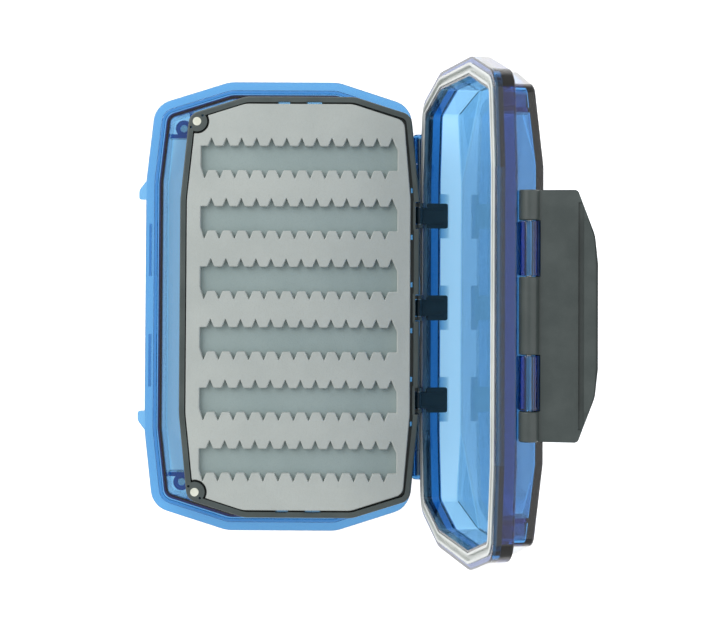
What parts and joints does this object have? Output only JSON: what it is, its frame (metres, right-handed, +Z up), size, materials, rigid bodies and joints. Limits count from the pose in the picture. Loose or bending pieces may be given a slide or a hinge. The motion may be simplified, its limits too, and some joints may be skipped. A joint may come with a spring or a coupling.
{
  "type": "fly box",
  "caption": "Waterproof fly box: two clear blue hinged shells, a rim seal, a flip latch, and a swinging double-sided slotted foam leaf.",
  "frame": {"origin": "centre of the base shell's flat bottom face", "axes": "+X is the hinge side, +Y along the box, +Z up; the lid stands open in the rest pose"},
  "size_m": [0.1714, 0.184, 0.1321],
  "materials": {
    "clear_blue": "gloss",
    "grey_plastic": "satin",
    "seal_rubber": "matte",
    "foam": "matte",
    "foam_backing": "matte",
    "pin_steel": "satin",
    "magnet_plating": "satin"
  },
  "bodies": {
    "base": {"base_shell": "clear_blue", "base_magnet_upper": "magnet_plating", "base_magnet_lower": "magnet_plating", "hinge_pin_upper": "pin_steel", "hinge_pin_lower": "pin_steel"},
    "lid": {"lid_shell": "clear_blue", "lid_gasket": "seal_rubber", "leaf_bracket_upper": "grey_plastic", "leaf_bracket_middle": "grey_plastic", "leaf_bracket_lower": "grey_plastic", "leaf_pivot_pin_upper": "pin_steel", "leaf_pivot_pin_middle": "pin_steel", "leaf_pivot_pin_lower": "pin_steel", "latch_pin": "pin_steel"},
    "leaf": {"leaf_frame": "grey_plastic", "leaf_magnet_upper": "magnet_plating", "leaf_magnet_lower": "magnet_plating", "foam_front_slotted": "foam", "foam_front_backing": "foam_backing", "foam_back_slotted": "foam", "foam_back_backing": "foam_backing"},
    "latch": {"latch_body": "grey_plastic"}
  },
  "joints": [
    {"name": "lid_hinge", "type": "hinge", "parent": "base", "child": "lid", "pos_m": [0.0558, 0, 0.018], "axis": [0, 1, 0], "range_deg": [-101.4, 0]},
    {"name": "leaf_pivot", "type": "hinge", "parent": "lid", "child": "leaf", "pos_m": [0.0556, 0, 0.02635], "axis": [0, 1, 0], "range_deg": [0, 101.4]},
    {"name": "latch_pivot", "type": "hinge", "parent": "lid", "child": "latch", "pos_m": [0.08907, 0, 0.12636], "axis": [0, 1, 0], "range_deg": [-160, 0]}
  ],
  "couplings": [
    {"joint": "leaf_pivot", "follows": "lid_hinge", "ratio": -1}
  ]
}
